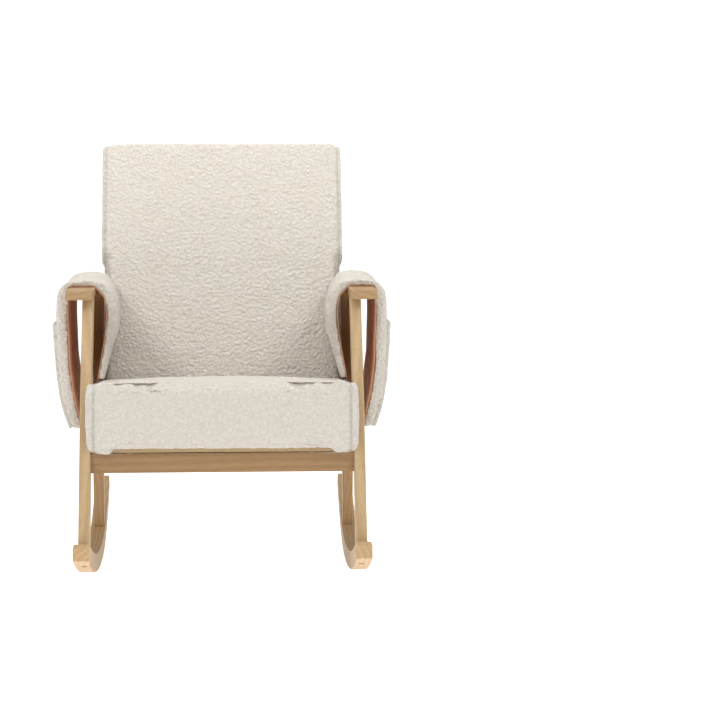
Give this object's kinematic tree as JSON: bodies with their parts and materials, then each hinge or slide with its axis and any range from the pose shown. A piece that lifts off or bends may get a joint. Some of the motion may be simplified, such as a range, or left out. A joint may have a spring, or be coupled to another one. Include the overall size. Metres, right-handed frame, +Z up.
{
  "type": "rocking nursery chair",
  "caption": "Rocking nursery chair: wooden side frames on sawn runners, boxed fleece seat and raked back, and a padded pull-off cover with a pocket on each armrest.",
  "frame": {"origin": "on the floor, under the middle of the chair's box", "axes": "+X towards the sitter's left, +Y to the rear, +Z up"},
  "size_m": [0.76, 0.8974, 0.96],
  "materials": {
    "fleece": "matte",
    "lining": "matte",
    "foam": "matte",
    "webbing": "matte",
    "dust_cloth": "matte",
    "oiled_wood": "satin",
    "inner_wood": "matte",
    "steel": "satin"
  },
  "bodies": {
    "chair": {"armrest_dowels": "oiled_wood", "back_bolts": "steel", "back_cover": "fleece", "back_foam": "foam", "back_frame_bottom": "inner_wood", "back_frame_middle": "inner_wood", "back_frame_top": "inner_wood", "back_rear_panel": "fleece", "back_washers": "steel", "back_webbing": "webbing", "cleat_screws": "steel", "front_rail": "oiled_wood", "left_armrest": "oiled_wood", "left_back_post": "inner_wood", "left_front_leg": "oiled_wood", "left_rear_leg": "oiled_wood", "left_runner": "oiled_wood", "left_seat_cleat": "inner_wood", "left_seat_frame_side": "inner_wood", "left_side_rail": "oiled_wood", "rail_barrel_nuts": "steel", "rail_bolts": "steel", "rear_rail": "oiled_wood", "right_armrest": "oiled_wood", "right_back_post": "inner_wood", "right_front_leg": "oiled_wood", "right_rear_leg": "oiled_wood", "right_runner": "oiled_wood", "right_seat_cleat": "inner_wood", "right_seat_frame_side": "inner_wood", "right_side_rail": "oiled_wood", "runner_screws": "steel", "seat_board": "inner_wood", "seat_corner_blocks": "inner_wood", "seat_cover": "fleece", "seat_dust_cover": "dust_cloth", "seat_foam": "foam", "seat_frame_front": "inner_wood", "seat_frame_rear": "inner_wood", "seat_screws": "steel", "side_rail_dowels": "oiled_wood"},
    "left_armrest_cover": {"left_cover_pad": "fleece", "left_cover_lining": "lining", "left_cover_pocket": "fleece"},
    "right_armrest_cover": {"right_cover_pad": "fleece", "right_cover_lining": "lining", "right_cover_pocket": "fleece"}
  },
  "joints": [
    {"name": "left_cover_pull_off", "type": "slide", "parent": "chair", "child": "left_armrest_cover", "axis": [0, -0.9962, 0.0872], "range_m": [0, 0.43]},
    {"name": "right_cover_pull_off", "type": "slide", "parent": "chair", "child": "right_armrest_cover", "axis": [0, -0.9962, 0.0872], "range_m": [0, 0.43]}
  ]
}
